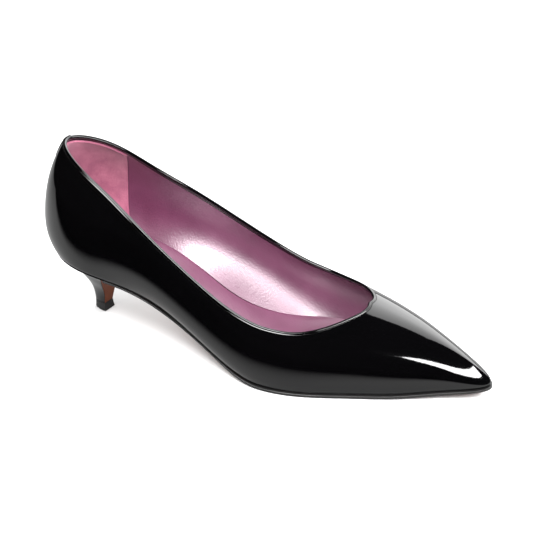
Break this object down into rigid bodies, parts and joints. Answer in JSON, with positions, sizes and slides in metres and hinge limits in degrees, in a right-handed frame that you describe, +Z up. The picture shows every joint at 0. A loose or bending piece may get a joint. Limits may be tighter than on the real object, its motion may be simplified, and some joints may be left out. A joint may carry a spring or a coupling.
{
  "type": "high heel shoe",
  "caption": "Right pointed-toe court shoe with a low curved heel, a hollow patent upper, a thin leather sole and a separate top piece.",
  "frame": {"origin": "middle of the top piece's face on the floor", "axes": "+X from the heel to the toe, +Y to the inner (medial) side of the right foot, +Z up"},
  "size_m": [0.2494, 0.0802, 0.1025],
  "materials": {
    "patent": "black patent, mirror gloss",
    "sock": "pink metallic sock leather, satin",
    "sole_leather": "brown leather, smooth, with a black painted edge",
    "heel_rubber": "black, semi-matt"
  },
  "bodies": {
    "root": {"upper": "patent", "topline_binding": "patent", "back_tab": "patent", "insole": "sock", "outsole": "sole_leather", "heel": "patent", "top_piece": "heel_rubber"}
  },
  "joints": []
}
